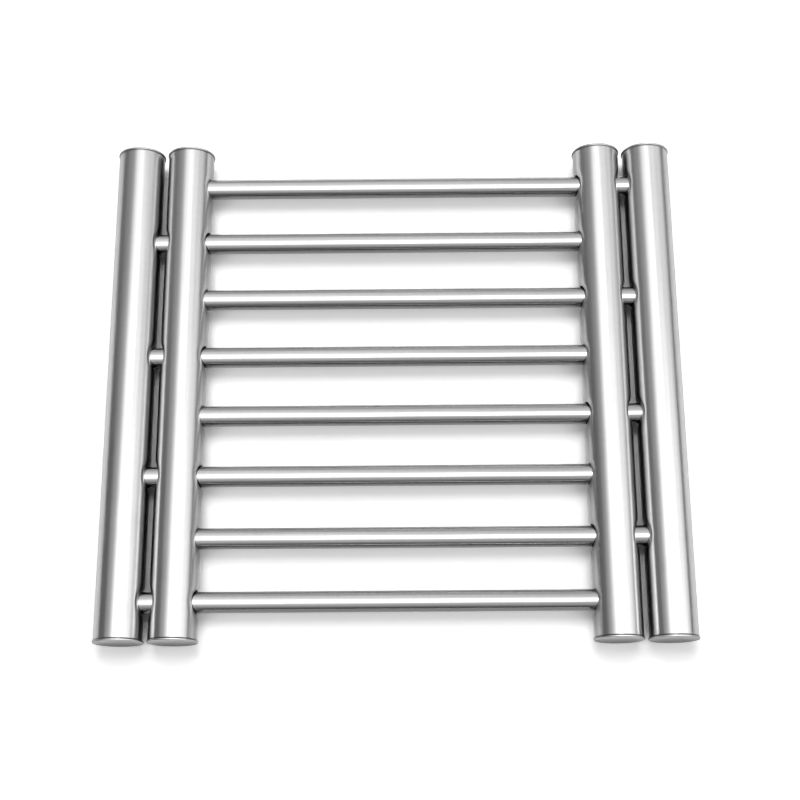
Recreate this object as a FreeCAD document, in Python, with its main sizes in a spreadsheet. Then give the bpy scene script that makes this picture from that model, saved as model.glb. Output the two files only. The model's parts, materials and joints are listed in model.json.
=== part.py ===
import FreeCAD, Part
import os

import Sketcher

# Expanding trivet of stainless steel tube and rod.
# Two equal ladder frames are threaded through each other, one turned half round: each has two
# side tubes and four cross rods, and its rods slide through holes in the other's inner tube.
# X runs along the rods, Y along the side tubes and away from the viewer, and Z is up.
# The origin lies on the table under the middle of the closed trivet. Lengths are in millimetres.

# Driving dimensions: name, value and what it measures
SIZES = [
    ("tube_diameter", 16.0, "outside of a side tube"),
    ("tube_wall", 0.8, "wall of a side tube"),
    ("tube_length", 171.4, "cut length of a side tube, without its end caps"),
    ("frame_spacing", 161.5, "between the axes of the two tubes of one frame"),
    ("rim_gap", 1.0, "between the cap rims of neighbouring tubes when closed"),
    ("rods_per_frame", 4, "cross rods in one frame"),
    ("end_margin", 12.25, "from a tube's cut end to the axis of the nearest rod"),
    ("rod_diameter", 7.0, "outside of a cross rod"),
    ("rod_wall", 0.8, "wall of a cross rod, which is a thin tube"),
    ("seat_clearance", 0.03, "around a rod in the hole where it is fixed"),
    ("seat_depth_gap", 0.15, "between a rod's end and the far side of the bore"),
    ("slide_clearance", 0.3, "around a rod in the holes where it slides"),
    ("cap_overhang", 0.3, "how far a cap's rim stands out from its tube"),
    ("cap_thickness", 0.8, "sheet of a cap"),
    ("drill_overrun", 1.0, "how far a drill runs past the outside of a tube"),
]

# Sizes that follow from the driving ones, as expressions of the document
TUBE_RADIUS = "(Sizes.tube_diameter / 2)"
BORE_RADIUS = f"({TUBE_RADIUS} - Sizes.tube_wall)"
RIM_RADIUS = f"({TUBE_RADIUS} + Sizes.cap_overhang)"
NEST_SPACING = f"(2 * {RIM_RADIUS} + Sizes.rim_gap)"
OUTER_AXIS_X = f"((Sizes.frame_spacing + {NEST_SPACING}) / 2)"
INNER_AXIS_X = f"((Sizes.frame_spacing - {NEST_SPACING}) / 2)"
FIRST_ROW_Y = "(Sizes.tube_length / 2 - Sizes.end_margin)"
ROW_PITCH = f"(2 * {FIRST_ROW_Y} / (2 * Sizes.rods_per_frame - 1))"
SECOND_ROW_Y = f"({FIRST_ROW_Y} - {ROW_PITCH})"
ROW_SPAN = f"(2 * {ROW_PITCH} * (Sizes.rods_per_frame - 1))"
SEAT_DIAMETER = "(Sizes.rod_diameter + 2 * Sizes.seat_clearance)"
SLIDE_DIAMETER = "(Sizes.rod_diameter + 2 * Sizes.slide_clearance)"
ROD_REACH = f"(sqrt({BORE_RADIUS} ^ 2 - (Sizes.rod_diameter / 2) ^ 2) - Sizes.seat_depth_gap)"
DRILL_DEPTH = f"({TUBE_RADIUS} + Sizes.drill_overrun)"

doc = FreeCAD.newDocument("expanding_trivet")


def fill_sheet():
    """Write the driving dimensions into a spreadsheet, one row each, under their aliases."""
    sheet = doc.addObject("Spreadsheet::Sheet", "Sizes")
    for row, (alias, value, meaning) in enumerate(SIZES, start=1):
        sheet.set(f"A{row}", alias)
        sheet.set(f"B{row}", str(value))
        sheet.set(f"C{row}", meaning)
        sheet.setAlias(f"B{row}", alias)
    doc.recompute()
    return sheet


def new_body(label):
    """An empty body under the piece's own name."""
    body = doc.addObject("PartDesign::Body", label)
    body.Label = label
    return body


def origin_feature(body, role):
    """One of the body's own origin planes or axes, found by its role."""
    return [feature for feature in body.Origin.OriginFeatures if feature.Role == role][0]


def new_sketch(body, role, name):
    """A sketch on one of the body's origin planes."""
    sketch = body.newObject("Sketcher::SketchObject", name)
    sketch.AttachmentSupport = [(origin_feature(body, role), "")]
    sketch.MapMode = "FlatFace"
    return sketch


def name_last_constraint(sketch, name, expression):
    """Name the constraint that was added last and bind it to the sheet."""
    sketch.renameConstraint(sketch.ConstraintCount - 1, name)
    sketch.setExpression(f"Constraints.{name}", expression)


def add_circle(sketch, name, diameter, place=None):
    """A circle on the sketch's origin, or at a place along the sketch's horizontal axis."""
    circle = sketch.addGeometry(Part.Circle())
    sketch.addConstraint(Sketcher.Constraint("Diameter", circle, sheet.rod_diameter))
    name_last_constraint(sketch, f"{name}_diameter", diameter)
    if place is None:
        sketch.addConstraint(Sketcher.Constraint("Coincident", circle, 3, -1, 1))
    else:
        sketch.addConstraint(Sketcher.Constraint("PointOnObject", circle, 3, -1))
        sketch.addConstraint(Sketcher.Constraint("DistanceX", -1, 1, circle, 3, sheet.end_margin))
        name_last_constraint(sketch, f"{name}_place", place)


def pad_profile(body, sketch, side, length):
    """Pad a sketch by a length bound to the sheet, to one side or symmetrically."""
    pad = body.newObject("PartDesign::Pad", f"{sketch.Name}_pad")
    pad.Profile = sketch
    pad.SideType = side
    pad.Reversed = side == "One side"
    pad.setExpression("Length", length)
    doc.recompute()


def round_pipe(body, plane, outer, wall, length):
    """A pipe about the normal of an origin plane and centred on that plane."""
    section = new_sketch(body, plane, f"{body.Label}_section")
    add_circle(section, "outside", outer)
    add_circle(section, "bore", f"{outer} - 2 * {wall}")
    pad_profile(body, section, "Symmetric", length)


def drill_row(body, name, diameter, first_y, walls):
    """Drill a row of cross holes along the tube: through its +X wall, its -X wall or both."""
    volume_before = body.Shape.Volume
    hole = new_sketch(body, "YZ_Plane", f"{body.Label}_{name}_hole")
    add_circle(hole, "hole", diameter, first_y)
    drilling = body.newObject("PartDesign::Pocket", f"{body.Label}_{name}_drilling")
    drilling.Profile = hole
    drilling.SideType = "Symmetric" if walls == "both" else "One side"
    drilling.Reversed = walls == "+X"
    drilling.setExpression("Length", f"2 * {DRILL_DEPTH}" if walls == "both" else DRILL_DEPTH)
    row = body.newObject("PartDesign::LinearPattern", f"{body.Label}_{name}_row")
    row.Originals = [drilling]
    row.Direction = (origin_feature(body, "Y_Axis"), [""])
    row.Reversed = True
    row.setExpression("Length", ROW_SPAN)
    row.setExpression("Occurrences", "Sizes.rods_per_frame")
    body.Tip = row
    doc.recompute()
    if not row.Shape.Volume < drilling.Shape.Volume < volume_before:
        raise ValueError(f"{body.Label}: the {name} holes cut nothing")


def place_body(body, along_x, along_y, half_turn=False):
    """Put a piece at the height of the tube axes, turned half round about Z if asked."""
    turn = FreeCAD.Rotation(FreeCAD.Vector(0, 0, 1), 180 if half_turn else 0)
    body.Placement = FreeCAD.Placement(FreeCAD.Vector(0, 0, 0), turn)
    body.setExpression("Placement.Base.x", along_x)
    body.setExpression("Placement.Base.y", along_y)
    body.setExpression("Placement.Base.z", RIM_RADIUS)


def side_tube(label, axis_x, seat_wall, seat_row, slide_row=None):
    """A side tube: seats for its own rods in one wall, and sliding holes through both if inner."""
    body = new_body(label)
    round_pipe(body, "XZ_Plane", "Sizes.tube_diameter", "Sizes.tube_wall", "Sizes.tube_length")
    drill_row(body, "seat", SEAT_DIAMETER, seat_row, seat_wall)
    if slide_row is not None:
        drill_row(body, "slide", SLIDE_DIAMETER, slide_row, "both")
    place_body(body, axis_x, "0")
    return body


def cross_rod(label, centre_x, row_y):
    """A cross rod, long enough to reach across the bores of both tubes of its frame."""
    body = new_body(label)
    round_pipe(body, "YZ_Plane", "Sizes.rod_diameter", "Sizes.rod_wall",
               f"Sizes.frame_spacing + 2 * {ROD_REACH}")
    place_body(body, centre_x, row_y)
    return body


def end_cap(label, axis_x, far_end):
    """An end cap: a disc a little wider than the tube, lying against the tube's cut end."""
    body = new_body(label)
    outline = new_sketch(body, "XZ_Plane", f"{label}_outline")
    add_circle(outline, "rim", f"2 * {RIM_RADIUS}")
    pad_profile(body, outline, "One side", "Sizes.cap_thickness")
    tube_end = "Sizes.tube_length / 2" if far_end else "-Sizes.tube_length / 2"
    place_body(body, axis_x, tube_end, half_turn=not far_end)
    return body


sheet = fill_sheet()
pieces = []

# The right frame owns the left inner and right outer tubes and the odd rods from the far side.
# The left frame, the same frame turned half round, owns the other two tubes and the even rods.
pieces.append(side_tube("left_outer_tube", f"-{OUTER_AXIS_X}", "+X", SECOND_ROW_Y))
pieces.append(side_tube("left_inner_tube", f"-{INNER_AXIS_X}", "+X", FIRST_ROW_Y, SECOND_ROW_Y))
pieces.append(side_tube("right_inner_tube", INNER_AXIS_X, "-X", SECOND_ROW_Y, FIRST_ROW_Y))
pieces.append(side_tube("right_outer_tube", OUTER_AXIS_X, "-X", FIRST_ROW_Y))

for position, axis_x in [("left_outer", f"-{OUTER_AXIS_X}"), ("left_inner", f"-{INNER_AXIS_X}"),
                         ("right_inner", INNER_AXIS_X), ("right_outer", OUTER_AXIS_X)]:
    pieces.append(end_cap(f"{position}_far_cap", axis_x, far_end=True))
    pieces.append(end_cap(f"{position}_near_cap", axis_x, far_end=False))

for row in range(2 * int(sheet.rods_per_frame)):
    frame_side = "" if row % 2 == 0 else "-"
    centre_x = f"{frame_side}{NEST_SPACING} / 2"
    pieces.append(cross_rod(f"cross_rod_{row + 1}", centre_x, f"{FIRST_ROW_Y} - {row} * {ROW_PITCH}"))

doc.recompute()
for item in doc.Objects:
    if "Invalid" in item.State or "Error" in item.State:
        raise ValueError(f"{item.Label} failed to rebuild: {item.State}")
for piece in pieces:
    if piece.Shape.isNull() or not piece.Shape.isValid() or len(piece.Shape.Solids) != 1:
        raise ValueError(f"{piece.Label} is not one sound solid")

os.makedirs("parts", exist_ok=True)
for piece in pieces:
    piece.Shape.exportStep(os.path.join("parts", f"{piece.Label}.step"))
    box = piece.Shape.BoundBox
    print(f"{piece.Label}: {piece.Shape.Volume:.1f} mm3, x {box.XMin:.2f} to {box.XMax:.2f}, "
          f"y {box.YMin:.2f} to {box.YMax:.2f}, z {box.ZMin:.2f} to {box.ZMax:.2f}")
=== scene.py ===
import json

import bpy
import numpy as np
from mathutils import Matrix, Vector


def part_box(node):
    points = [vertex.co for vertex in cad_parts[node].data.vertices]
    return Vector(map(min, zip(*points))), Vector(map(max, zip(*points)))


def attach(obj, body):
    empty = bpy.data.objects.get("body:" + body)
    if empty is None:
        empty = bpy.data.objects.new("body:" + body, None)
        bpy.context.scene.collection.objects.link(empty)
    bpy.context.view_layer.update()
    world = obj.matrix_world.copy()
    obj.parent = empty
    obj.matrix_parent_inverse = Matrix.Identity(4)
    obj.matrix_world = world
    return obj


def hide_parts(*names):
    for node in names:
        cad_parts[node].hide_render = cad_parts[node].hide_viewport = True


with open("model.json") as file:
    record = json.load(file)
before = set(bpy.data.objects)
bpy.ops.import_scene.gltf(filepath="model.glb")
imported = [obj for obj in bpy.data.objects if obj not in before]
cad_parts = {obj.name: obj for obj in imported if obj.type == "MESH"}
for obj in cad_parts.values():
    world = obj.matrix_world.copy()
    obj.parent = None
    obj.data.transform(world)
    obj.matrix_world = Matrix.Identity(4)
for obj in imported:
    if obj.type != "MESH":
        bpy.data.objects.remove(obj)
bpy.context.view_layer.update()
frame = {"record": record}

# The camera stands almost over the trivet, a little to its near side, and looks down on it.
# Its place and turn come from the edges of the tubes and rods in the photograph, which is
# 800 pixels wide and taken to be uncropped.
MM = 0.001
photo_width_px = 800
focal_length_px = 1434.3
sensor_width_mm = 36
camera_place = np.array([4.53, -148.80, 472.01]) * MM
look_down, look_right, roll = np.radians([72.780, -1.061, -1.457])

look = np.array([np.sin(look_right) * np.cos(look_down), np.cos(look_right) * np.cos(look_down),
                 -np.sin(look_down)])
level = np.array([np.cos(look_right), -np.sin(look_right), 0])
upward = np.cross(level, look)
image_right = np.cos(roll) * level + np.sin(roll) * upward
image_up = np.cos(roll) * upward - np.sin(roll) * level
camera_turn = np.eye(4)
camera_turn[:3] = np.column_stack([image_right, image_up, -look, camera_place])
camera_data = bpy.data.cameras.new("camera")
camera_data.sensor_width = sensor_width_mm
camera_data.lens = focal_length_px / photo_width_px * sensor_width_mm
camera = bpy.data.objects.new("camera", camera_data)
camera.matrix_world = Matrix(camera_turn.tolist())
bpy.context.scene.collection.objects.link(camera)
bpy.context.scene.camera = camera

# The side tubes are 16 mm stainless steel tube with a wall of 0.8 mm, polished while turning.
# The holes are punched from outside, so the wall dips in round each of them: fixed rods sit in one
# wall of a tube, and the other frame's rods slide through both walls of an inner tube.
tube_radius = 8.0 * MM
bore_radius = 7.2 * MM
tube_end_rounding = 0.25 * MM
seat_radius = 3.65 * MM
slide_radius = 4.1 * MM
hole_lip = 0.15 * MM
dimple_depth = 0.5 * MM
dimple_width = 2.4 * MM
weld_distance = 1e-4 * MM

behaviour = frame["record"]["behaviour"]
body_of_node = {node: body for body, nodes in behaviour["bodies"].items() for node in nodes}
centre_of_node = {node: (np.array(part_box(node)[0]) + np.array(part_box(node)[1])) / 2
                  for node in body_of_node}
tubes = [node for node in body_of_node if node.endswith("_tube")]
rods = sorted(node for node in body_of_node if node.startswith("cross_rod_"))
row_pitch = centre_of_node[rods[0]][1] - centre_of_node[rods[1]][1]
tube_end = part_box(tubes[0])[1][1]

# How finely the surfaces are divided: the rings round a hole grow wider away from it
quarter = np.pi / 2
side_points = 33
outside_rings = 15
inside_rings = 5
ring_growth = 1.5
rounding_points = 5
hole_depth_points = 4

# Points round a square of side 2 as (along the tube, up), and the same points on a unit circle.
# A full turn has as many points as the two halves of a wall together.
side_steps = np.linspace(-1, 1, side_points)
step = side_steps[:-1]
ones = np.ones_like(step)
square = np.vstack([np.column_stack(side)
                    for side in ((ones, step), (-step, ones), (-ones, -step), (step, -ones))])
square = np.vstack([square, square[:1]])
circle = square / np.linalg.norm(square, axis=1, keepdims=True)
full_turn = np.linspace(-quarter, 3 * quarter, 2 * side_points - 1)


def skin(name, patches):
    """A mesh object from patches, each a grid of points and a grid of the ways it faces.

    Four neighbours in a grid make a face. Equal points are joined, corners that fall together
    are dropped, and a face that looks away from its facings is turned over.
    """
    points = np.concatenate([place.reshape(-1, 3) for place, facing in patches])
    facings = np.concatenate([facing.reshape(-1, 3) for place, facing in patches])
    faces, first = [], 0
    for place, facing in patches:
        number = first + np.arange(place.shape[0] * place.shape[1]).reshape(place.shape[:2])
        faces.append(np.stack([number[:-1, :-1], number[1:, :-1], number[1:, 1:], number[:-1, 1:]],
                              axis=-1).reshape(-1, 4))
        first += number.size
    faces = np.concatenate(faces)
    corners = points[faces]
    outward = np.cross(corners[:, 2] - corners[:, 0], corners[:, 3] - corners[:, 1])
    turned_over = (outward * facings[faces].mean(axis=1)).sum(axis=1) < 0
    faces[turned_over] = faces[turned_over, ::-1]
    kept, joined = np.unique(np.round(points / weld_distance), axis=0, return_index=True,
                             return_inverse=True)[1:]
    welded = joined.reshape(-1)[faces]
    apart = welded != np.roll(welded, 1, axis=1)
    whole = apart.sum(axis=1) > 2
    faces, welded, apart = faces[whole], welded[whole], apart[whole]
    corner_count = apart.sum(axis=1)
    mesh = bpy.data.meshes.new(name)
    mesh.vertices.add(len(kept))
    mesh.vertices.foreach_set("co", points[kept].ravel())
    mesh.loops.add(int(corner_count.sum()))
    mesh.loops.foreach_set("vertex_index", welded[apart])
    mesh.polygons.add(len(faces))
    mesh.polygons.foreach_set("loop_start", np.cumsum(corner_count) - corner_count)
    mesh.update(calc_edges=True)
    mesh.normals_split_custom_set(facings[faces[apart]].tolist())
    made = bpy.data.objects.new(name, mesh)
    bpy.context.scene.collection.objects.link(made)
    return made


def stacked(x, y, z):
    """Three arrays as one array of vectors, after spreading them to the same shape."""
    return np.stack(np.broadcast_arrays(x, y, z), axis=-1)


def unit(vectors):
    """Vectors divided by their length."""
    return vectors / np.linalg.norm(vectors, axis=-1, keepdims=True)


def dip(distance, radius, hole_radius):
    """How far a wall dips in at a distance from a hole's axis, and the slope of that dip.

    The depth falls off as the square of what is left of the dimple's width. On the inside of the
    wall the distance is stretched by the ratio of the radii, so that it too ends at the top.
    """
    left = 1 - np.clip((distance * tube_radius / radius - hole_radius) / dimple_width, 0, 1)
    return dimple_depth * left ** 2, -2 * dimple_depth * left / dimple_width


def wall(tube, side, row_y, radius, angle, along, hole_radius):
    """Points of one half of a tube's wall and the way they face outwards.

    A point lies at an angle up from level and at a place along the tube from the row. Where the
    row has a hole, the wall is moved in along the hole's axis by the dip.
    """
    up = radius * np.sin(angle)
    distance = np.maximum(np.hypot(along, up), weld_distance)
    depth, slope = (0, 0) if hole_radius is None else dip(distance, radius, hole_radius)
    middle = centre_of_node[tube]
    place = stacked(middle[0] + side * (radius * np.cos(angle) - depth), row_y + along,
                    middle[2] + up)
    facing = stacked(side * np.cos(angle), slope * along / distance * np.cos(angle),
                     slope * up / distance * np.cos(angle) + np.sin(angle))
    return place, unit(facing)


def wall_patches(tube, side, row_y, hole_radius):
    """Both faces of half a tube's wall along one row, with the hole's rounded edge between them.

    Without a hole the grid runs along the tube and round it. Round a hole, it runs from the
    hole's circle out to the patch's border. The edge's rounding is a quarter circle, and the
    rest of the hole is straight.
    """
    border_along = row_pitch / 2 * square[:, 0]
    border_angle = quarter * square[:, 1]
    patches = []
    for radius, sense, rings, edge_radius in [
            (tube_radius, 1, outside_rings, (hole_radius or 0) + hole_lip),
            (bore_radius, -1, inside_rings, hole_radius or 0)]:
        if hole_radius is None:
            along = row_pitch / 2 * side_steps[None]
            angle = quarter * side_steps[:, None]
        else:
            share = np.linspace(0, 1, rings)[:, None] ** ring_growth
            edge_along = edge_radius * circle[:, 0]
            edge_angle = np.arcsin(edge_radius * circle[:, 1] / radius)
            along = edge_along + share * (border_along - edge_along)
            angle = edge_angle + share * (border_angle - edge_angle)
        place, facing = wall(tube, side, row_y, radius, angle, along, hole_radius)
        patches.append((place, sense * facing))
    if hole_radius is None:
        return patches
    edge_place, edge_facing = patches[0][0][0], patches[0][1][0]
    bore_edge = patches[1][0][0]
    inward = stacked(0, -circle[:, 0], -circle[:, 1])
    turn = np.linspace(0, quarter, rounding_points)[:, None]
    lip_x = edge_place[:, 0] - side * hole_lip * (1 - np.cos(turn))
    reach = hole_radius + hole_lip * (1 - np.sin(turn))
    middle_z = centre_of_node[tube][2]
    lip = stacked(lip_x, row_y + reach * circle[:, 0], middle_z + reach * circle[:, 1])
    lip_facing = np.cos(turn)[..., None] * edge_facing + np.sin(turn)[..., None] * inward
    patches.append((lip, unit(lip_facing)))
    share = np.linspace(0, 1, hole_depth_points)[:, None, None]
    straight = lip[-1] + share * (bore_edge - lip[-1])
    patches.append((straight, np.broadcast_to(inward, straight.shape)))
    return patches


def turned(profile, middle, axis, angles):
    """A surface of revolution about an axis through a point.

    Each row of the profile is a place along the axis, a radius and the lean of the surface:
    0 faces away from the axis, a quarter turn faces along it and half a turn faces it.
    """
    along, radius, lean = np.asarray(profile).T[..., None]
    axis = np.asarray(axis, float)
    up = np.array([0, 0, 1.0])
    spoke = np.cos(angles)[:, None] * np.cross(up, axis) + np.sin(angles)[:, None] * up
    place = middle + along[..., None] * axis + radius[..., None] * spoke
    facing = np.sin(lean)[..., None] * axis + np.cos(lean)[..., None] * spoke
    return place, facing


def rounded(along, radius, size, first_lean):
    """A quarter circle of a profile about a centre, from one lean to a quarter turn more."""
    lean = first_lean + np.linspace(0, quarter, rounding_points)
    return np.column_stack([along + size * np.sin(lean), radius + size * np.cos(lean), lean])


def tube_patches(tube):
    """All of a tube: its two walls row by row, and the strips, roundings and rims at its ends."""
    middle = centre_of_node[tube]
    inner_side = -np.sign(middle[0])
    patches = []
    for rod in rods:
        low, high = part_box(rod)
        own = body_of_node[rod] == body_of_node[tube]
        crossed = low[0] < middle[0] < high[0]
        for side in (-1, 1):
            hole_radius = None
            if own and side == inner_side:
                hole_radius = seat_radius
            elif crossed and not own:
                hole_radius = slide_radius
            patches += wall_patches(tube, side, centre_of_node[rod][1], hole_radius)
    last_row_end = centre_of_node[rods[0]][1] + row_pitch / 2
    rounding = rounded(tube_end - tube_end_rounding, tube_radius - tube_end_rounding,
                       tube_end_rounding, 0)
    outside = np.vstack([[last_row_end, tube_radius, 0], rounding])
    rim = [[tube_end, tube_radius - tube_end_rounding, quarter], [tube_end, bore_radius, quarter]]
    inside = [[tube_end, bore_radius, 2 * quarter], [last_row_end, bore_radius, 2 * quarter]]
    for end in (-1, 1):
        for profile in (outside, rim, inside):
            patches.append(turned(profile, middle * [1, 0, 1], [0, end, 0], full_turn))
    return patches


class Socket:
    """A node's output in Python sums: each operator adds the Math node that it stands for."""

    def __init__(self, tree, output=None):
        self.tree = tree
        self.output = output

    def node(self, kind, settings=None, sockets=None, output=0):
        """Add a node, its settings first and then its sockets' values or links."""
        made = self.tree.nodes.new(kind)
        for setting, value in (settings or {}).items():
            setattr(made, setting, value)
        for socket, value in (sockets or {}).items():
            if isinstance(value, Socket):
                self.tree.links.new(value.output, made.inputs[socket])
            else:
                made.inputs[socket].default_value = value
        return Socket(self.tree, made.outputs[output] if made.outputs else None)

    def between(self, low, high, to_low=0.0, to_high=1.0):
        """The value moved from one range to another, smoothly and without going past its ends."""
        return self.node("ShaderNodeMapRange", {"interpolation_type": "SMOOTHSTEP"},
                         {0: self, 1: low, 2: high, 3: to_low, 4: to_high})

    def maths(self, operation, first, second):
        """A Math node of two values."""
        return self.node("ShaderNodeMath", {"operation": operation}, {0: first, 1: second})

    def __abs__(self):
        return self.node("ShaderNodeMath", {"operation": "ABSOLUTE"}, {0: self})

    def __add__(self, other):
        return self.maths("ADD", self, other)

    def __radd__(self, other):
        return self.maths("ADD", other, self)

    def __sub__(self, other):
        return self.maths("SUBTRACT", self, other)

    def __rsub__(self, other):
        return self.maths("SUBTRACT", other, self)

    def __mul__(self, other):
        return self.maths("MULTIPLY", self, other)

    def __rmul__(self, other):
        return self.maths("MULTIPLY", other, self)


def empty_tree(owner):
    """The node tree of a new material or world, emptied, as a Socket that adds nodes to it."""
    owner.use_nodes = True
    owner.node_tree.nodes.clear()
    return Socket(owner.node_tree)


# How much each mark of the polish changes the tone or the roughness, and how the painted shade
# in the grooves at the caps fades along the tube
wave_height = 0.015 * MM
streak_darkening = 0.04
streak_lightening = 0.01
mottle_lightening = 0.05
scratch_darkening = 0.04
rub_darkening = 0.09
smear_roughening = 0.05
rub_roughening = 0.15
groove_shade_core = 0.12 * MM
groove_shade_reach = 0.36 * MM
near_groove_shade_share = 0.4
far_groove_shade_share = 0.72


def polished_steel(name, axis, steel_tone, steel_roughness, steel_grain, lower_shade_share, lower_shade_height,
                   lower_shade_blend):
    """Stainless steel that was turned against a polishing belt.

    The belt leaves rings round the piece that are too fine to see. They spread its reflections
    along its axis and leave them sharp round it, which is the shader's anisotropy. Slow waves in
    the surface bend the reflections. Faint streaks along the piece, a mottle, scratches and small
    rubs change the tone, and smears and rubs the roughness. Painted shade darkens the piece to a
    share of its tone below a height over the tubes' axes, with a blend to both sides. More
    painted shade darkens the grooves between each tube and its caps, most the near one.
    """
    material = bpy.data.materials.new(name)
    make = empty_tree(material)
    place = make.node("ShaderNodeTexCoord", output="Object")

    def noise(across, along, detail):
        """Noise whose features are this wide across the piece's axis and this long along it."""
        scale = [1 / along if direction == axis else 1 / across for direction in range(3)]
        stretched = make.node("ShaderNodeMapping", {}, {"Vector": place, "Scale": scale})
        return make.node("ShaderNodeTexNoise", {},
                         {"Vector": stretched, "Scale": 1.0, "Detail": detail})

    streaks = noise(across=1.2 * MM, along=60 * MM, detail=2.0)
    waves = noise(across=9 * MM, along=26 * MM, detail=1.0)
    smears = noise(across=7 * MM, along=14 * MM, detail=4.0).between(0.52, 0.75)
    bump = make.node("ShaderNodeBump", {},
                     {"Strength": 1.0, "Distance": 1.0, "Height": waves * wave_height})
    scratches = noise(across=0.16 * MM, along=16 * MM, detail=1.0).between(0.68, 0.74)
    rubs = noise(across=0.7 * MM, along=1.1 * MM, detail=2.0).between(0.72, 0.78)
    mottle = noise(across=3.0 * MM, along=1.6 * MM, detail=3.0)
    tone = streaks.between(0.3, 0.7, steel_tone - streak_darkening, steel_tone + streak_lightening)
    tone = (tone + mottle * mottle_lightening - scratches * scratch_darkening
            - rubs * rub_darkening)
    y_place = make.node("ShaderNodeSeparateXYZ", {}, {0: place}, output="Y")
    z_place = make.node("ShaderNodeSeparateXYZ", {}, {0: place}, output="Z")
    # Painted shade: below a height over the tubes' axes the tone falls to a share of itself
    lower_shade_level = centre_of_node[tubes[0]][2] + lower_shade_height
    tone = tone * z_place.between(lower_shade_level - lower_shade_blend, lower_shade_level + lower_shade_blend, lower_shade_share, 1.0)
    # Painted shade in the grooves between each tube and its caps, darkest at the near end
    from_groove = abs(abs(y_place) - tube_end)
    groove_shade_share = y_place.between(-tube_end, tube_end, near_groove_shade_share, far_groove_shade_share)
    tone = tone * from_groove.between(groove_shade_core, groove_shade_reach, groove_shade_share, 1.0)
    colour = make.node("ShaderNodeCombineColor", {}, {0: tone, 1: tone, 2: tone})
    roughness = steel_roughness + smears * smear_roughening + rubs * rub_roughening
    shader = make.node("ShaderNodeBsdfPrincipled", {},
                       {"Base Color": colour, "Metallic": 1.0, "Roughness": roughness,
                        "Anisotropic": steel_grain, "Normal": bump})
    make.node("ShaderNodeOutputMaterial", {}, {"Surface": shader})
    return material


def spread_along(piece, axis):
    """Turn the anisotropy of a piece along one axis.

    Without a UV map it follows circles round the Z axis of the mesh's texture space, so that
    space is moved far off at right angles to the axis, where the circles are straight lines.
    """
    far_off = 100
    piece.data.use_auto_texspace = False
    piece.data.texspace_size = (1, 1, 1)
    piece.data.texspace_location = (0, -far_off, 0) if axis == 0 else (-far_off, 0, 0)


tube_steel = polished_steel("tube_steel", axis=1, steel_tone=0.57, steel_roughness=0.28,
                            steel_grain=1.0, lower_shade_share=0.6, lower_shade_height=3.4 * MM,
                            lower_shade_blend=0.8 * MM)
for tube in tubes:
    piece = skin(f"{tube}_polished", tube_patches(tube))
    piece.data.materials.append(tube_steel)
    spread_along(piece, 1)
    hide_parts(tube)
    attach(piece, body_of_node[tube])

# The cross rods are thin stainless steel tube of 7 mm, polished like the side tubes and smoother.
# Both ends are hidden inside the side tubes, where they are fixed.
rod_radius = 3.5 * MM
rod_bore_radius = 2.7 * MM
rod_end_rounding = 0.3 * MM
rod_stations = 41

rod_steel = polished_steel("rod_steel", axis=0, steel_tone=0.51, steel_roughness=0.12,
                           steel_grain=0.8, lower_shade_share=0.38, lower_shade_height=2.15 * MM,
                           lower_shade_blend=0.25 * MM)
for rod in rods:
    half_length = (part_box(rod)[1][0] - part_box(rod)[0][0]) / 2
    stations = np.linspace(0, half_length - rod_end_rounding, rod_stations)[:-1]
    straight = np.column_stack([stations, np.full_like(stations, rod_radius), 0 * stations])
    rounding = rounded(half_length - rod_end_rounding, rod_radius - rod_end_rounding,
                       rod_end_rounding, 0)
    outside = np.vstack([straight, rounding])
    rim = [[half_length, rod_radius - rod_end_rounding, quarter],
           [half_length, rod_bore_radius, quarter]]
    inside = [[half_length, rod_bore_radius, 2 * quarter], [0, rod_bore_radius, 2 * quarter]]
    piece = skin(f"{rod}_polished", [turned(profile, centre_of_node[rod], [end, 0, 0], full_turn)
                                     for end in (-1, 1) for profile in (outside, rim, inside)])
    piece.data.materials.append(rod_steel)
    spread_along(piece, 0)
    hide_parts(rod)
    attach(piece, body_of_node[rod])

# The end caps are thin stainless steel discs, a little wider than the tubes that they close. Their
# edges are rounded, which leaves a fine groove against the tube, and their faces are very
# slightly hollow from pressing.
cap_rounding = 0.36 * MM
cap_hollow = 0.06 * MM
cap_turn_points = 129
cap_face_points = 9

cap_steel = polished_steel("cap_steel", axis=1, steel_tone=0.6, steel_roughness=0.4,
                           steel_grain=0.0, lower_shade_share=0.3, lower_shade_height=3 * MM, lower_shade_blend=9 * MM)
cap_turn = np.linspace(-quarter, 3 * quarter, cap_turn_points)
spread = np.linspace(0, 1, cap_face_points)
caps = sorted(node for node in body_of_node if node.endswith("_cap"))
for cap in caps:
    low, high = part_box(cap)
    thickness = high[1] - low[1]
    cap_radius = (high[0] - low[0]) / 2
    flat_radius = cap_radius - cap_rounding
    outward = np.sign(centre_of_node[cap][1])
    back, front = -thickness / 2, thickness / 2
    hollow = np.column_stack([front - cap_hollow * (1 - spread ** 2), flat_radius * spread,
                              quarter + np.arctan(2 * cap_hollow * spread / flat_radius)])
    underside = [[back, 0, -quarter], [back, flat_radius, -quarter]]
    edge = np.vstack([rounded(back + cap_rounding, flat_radius, cap_rounding, -quarter),
                      rounded(front - cap_rounding, flat_radius, cap_rounding, 0)])
    piece = skin(f"{cap}_polished", [turned(profile, centre_of_node[cap], [0, outward, 0], cap_turn)
                                     for profile in (underside, edge, hollow)])
    piece.data.materials.append(cap_steel)
    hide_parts(cap)
    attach(piece, body_of_node[cap])

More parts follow.
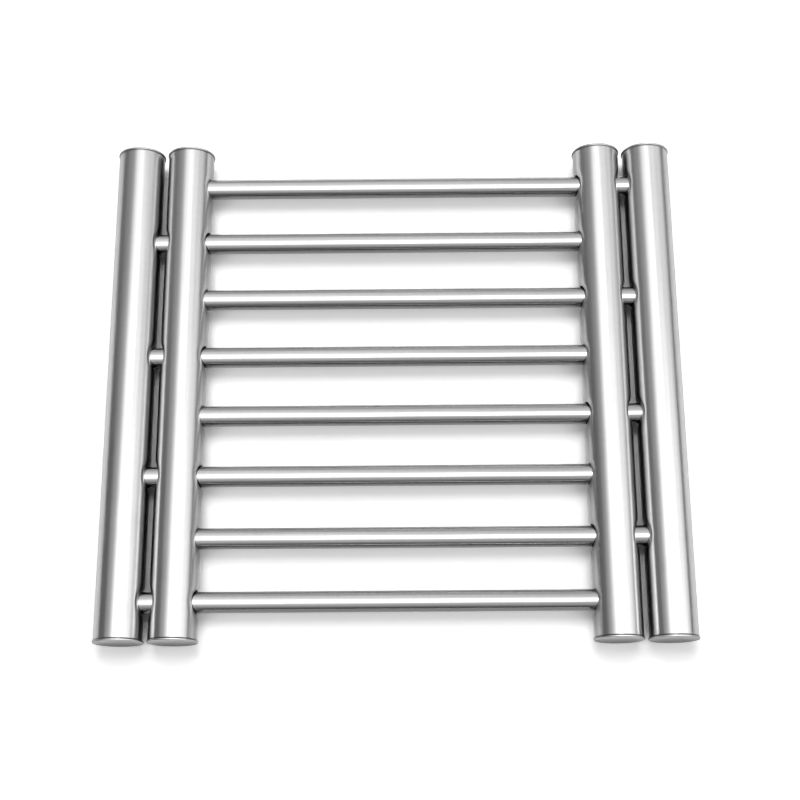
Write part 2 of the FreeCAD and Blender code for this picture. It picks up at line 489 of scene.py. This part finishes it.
# The table is a smooth white board, much larger than the picture. A painted glow lifts it towards
# the white of the photograph in the picture and in the steel, but not where the trivet covers it,
# so that the glow paints shade round the trivet and the shadows and the dark slits between the
# tubes stay. Far from the trivet it fades to white.
table_reach = 4000 * MM
table_tone = 0.93
table_roughness = 0.9
table_lift = 0.46
table_lift_in_steel = 0.7
steel_lift_from = 115 * MM
steel_lift_until = 200 * MM
table_far_lift = 0.65
far_lift_from = 350 * MM
far_lift_full = 1500 * MM
cover_reach = 14 * MM
covered_below = 0.15
open_above = 0.55

table_mesh = bpy.data.meshes.new("table")
table_mesh.from_pydata([(-table_reach, -table_reach, 0), (table_reach, -table_reach, 0),
                        (table_reach, table_reach, 0), (-table_reach, table_reach, 0)], [],
                       [(0, 1, 2, 3)])
table = bpy.data.objects.new("table", table_mesh)
bpy.context.scene.collection.objects.link(table)
table_paint = bpy.data.materials.new("table_paint")
make = empty_tree(table_paint)
place = make.node("ShaderNodeTexCoord", output="Object")
distance = make.node("ShaderNodeVectorMath", {"operation": "LENGTH"}, {0: place}, output="Value")
nearness = distance.between(steel_lift_from, steel_lift_until, table_lift_in_steel, 0.0)
mirrored = (make.node("ShaderNodeLightPath", output="Is Glossy Ray")
            + make.node("ShaderNodeLightPath", output="Is Transmission Ray"))
far_share = distance.between(far_lift_from, far_lift_full)
seen = make.node("ShaderNodeLightPath", output="Is Camera Ray")
# The glow is left out where the trivet covers the table, which paints shade round it
uncovered = make.node("ShaderNodeAmbientOcclusion", {"samples": 8}, {"Distance": cover_reach},
                      output="AO")
open_share = uncovered.between(covered_below, open_above)
glow = ((seen + mirrored * nearness) * open_share * table_lift
        + seen * far_share * table_far_lift)
shader = make.node("ShaderNodeBsdfPrincipled", {},
                   {"Base Color": (table_tone, table_tone, table_tone, 1),
                    "Roughness": table_roughness, "Emission Color": (1, 1, 1, 1),
                    "Emission Strength": glow})
make.node("ShaderNodeOutputMaterial", {}, {"Surface": shader})
table_paint.cycles.emission_sampling = "NONE"
table_mesh.materials.append(table_paint)

# The studio is a tent of white cloth, which the polished steel mirrors and the camera doesn't see.
# The steel mirrors an overhead lamp on the near side and a weak one on the right. The table is lit
# by the cloth and by a third lamp from the far side, so that the shadows fall towards the camera.
world = bpy.data.worlds.new("surround")
make = empty_tree(world)
white = make.node("ShaderNodeBackground", {}, {"Color": (1, 1, 1, 1), "Strength": 1.0})
make.node("ShaderNodeOutputWorld", {}, {"Surface": white})
bpy.context.scene.world = world

lamp_height = 1200 * MM


def lamp(name, place, size, watts, for_steel, for_table):
    """A soft lamp, a level rectangle that shines straight down on the steel, the table or both."""
    data = bpy.data.lights.new(name, "AREA")
    data.shape = "RECTANGLE"
    data.size, data.size_y = size
    data.energy = watts
    made = bpy.data.objects.new(name, data)
    made.location = (*place, lamp_height)
    made.visible_camera = False
    made.visible_glossy = for_steel
    made.visible_diffuse = for_table
    bpy.context.scene.collection.objects.link(made)


lamp("overhead_lamp", place=(0.16, -0.18), size=(0.48, 0.56), watts=3.4, for_steel=True,
     for_table=False)
lamp("right_lamp", place=(1.15, -0.22), size=(1.3, 0.9), watts=5.4, for_steel=True,
     for_table=False)
lamp("far_lamp", place=(-0.02, 0.34), size=(0.6, 0.6), watts=9.7, for_steel=False,
     for_table=True)

tent_reach = 1800 * MM
tent_height = 1250 * MM
tent_glow = 0.4
tent_glow_in_steel = 2.0


def cloth(name, corners, glows):
    """A glowing rectangle of cloth. Its glow is a product of one ramp for each axis given.

    A ramp is a list of places along an axis, in metres, and the share of the full glow there.
    """
    mesh = bpy.data.meshes.new(name)
    mesh.from_pydata(corners, [], [(0, 1, 2, 3)])
    made = bpy.data.objects.new(name, mesh)
    made.visible_camera = False
    bpy.context.scene.collection.objects.link(made)
    material = bpy.data.materials.new(name)
    make = empty_tree(material)
    place = make.node("ShaderNodeTexCoord", output="Object")
    glow = 1.0
    for axis, stops in glows.items():
        low, high = stops[0][0], stops[-1][0]
        along = make.node("ShaderNodeSeparateXYZ", {}, {0: place}, output=axis)
        share = make.node("ShaderNodeMapRange", {}, {0: along, 1: low, 2: high, 3: 0.0, 4: 1.0})
        ramp = make.node("ShaderNodeValToRGB", {}, {0: share})
        elements = ramp.output.node.color_ramp.elements
        while len(elements) < len(stops):
            elements.new(0.5)
        for element, (spot, value) in zip(elements, stops):
            element.position = (spot - low) / (high - low)
            element.color = (value, value, value, 1)
        glow = ramp * glow
    mirrored = make.node("ShaderNodeLightPath", output="Is Glossy Ray")
    glow = glow * (tent_glow + mirrored * (tent_glow_in_steel - tent_glow))
    shader = make.node("ShaderNodeEmission", {}, {"Strength": glow})
    make.node("ShaderNodeOutputMaterial", {}, {"Surface": shader})
    mesh.materials.append(material)


left, right = -tent_reach, tent_reach
near, far = -tent_reach, tent_reach
foot, top = 0, tent_height
cloth("tent_top", [(left, near, top), (right, near, top), (right, far, top), (left, far, top)],
      {"X": [(-1.8, 0.47), (-1.25, 0.62), (-0.88, 0.83), (-0.58, 1.5), (-0.42, 2.15), (-0.3, 2.5),
             (-0.1, 2.4), (0.2, 2.0), (0.42, 1.8), (0.9, 1.65), (1.5, 1.3), (1.8, 1.1)],
       "Y": [(-1.8, 0.15), (-1.35, 0.15), (-1.05, 0.16), (-0.72, 0.29), (-0.58, 0.42),
             (-0.40, 0.60), (-0.15, 0.85), (0.06, 0.62), (0.22, 0.42), (0.34, 0.35), (0.58, 0.28),
             (0.88, 0.24), (1.25, 0.23), (1.8, 0.23)]})
cloth("tent_left", [(left, near, foot), (left, far, foot), (left, far, top), (left, near, top)],
      {"Y": [(-1.8, 0.35), (0.0, 0.5), (0.6, 0.75), (1.0, 1.0), (1.8, 1.1)],
       "Z": [(0.0, 0.07), (0.12, 0.10), (0.3, 0.15), (1.25, 0.20)]})
cloth("tent_right",
      [(right, near, foot), (right, far, foot), (right, far, top), (right, near, top)],
      {"Y": [(-1.8, 1.6), (0.3, 1.6), (0.6, 1.0), (1.1, 0.7), (1.8, 0.7)],
       "Z": [(0.0, 0.05), (0.2, 0.08), (0.34, 0.22), (0.48, 0.40), (1.04, 0.60), (1.25, 0.68)]})
cloth("tent_near", [(left, near, foot), (right, near, foot), (right, near, top), (left, near, top)],
      {"Z": [(0.0, 0.04), (0.16, 0.05), (0.48, 0.09), (0.84, 0.19), (1.25, 0.27)]})
cloth("tent_far", [(left, far, foot), (right, far, foot), (right, far, top), (left, far, top)],
      {"Z": [(0.0, 0.25), (1.25, 0.37)]})

bpy.context.scene.view_settings.view_transform = "Standard"
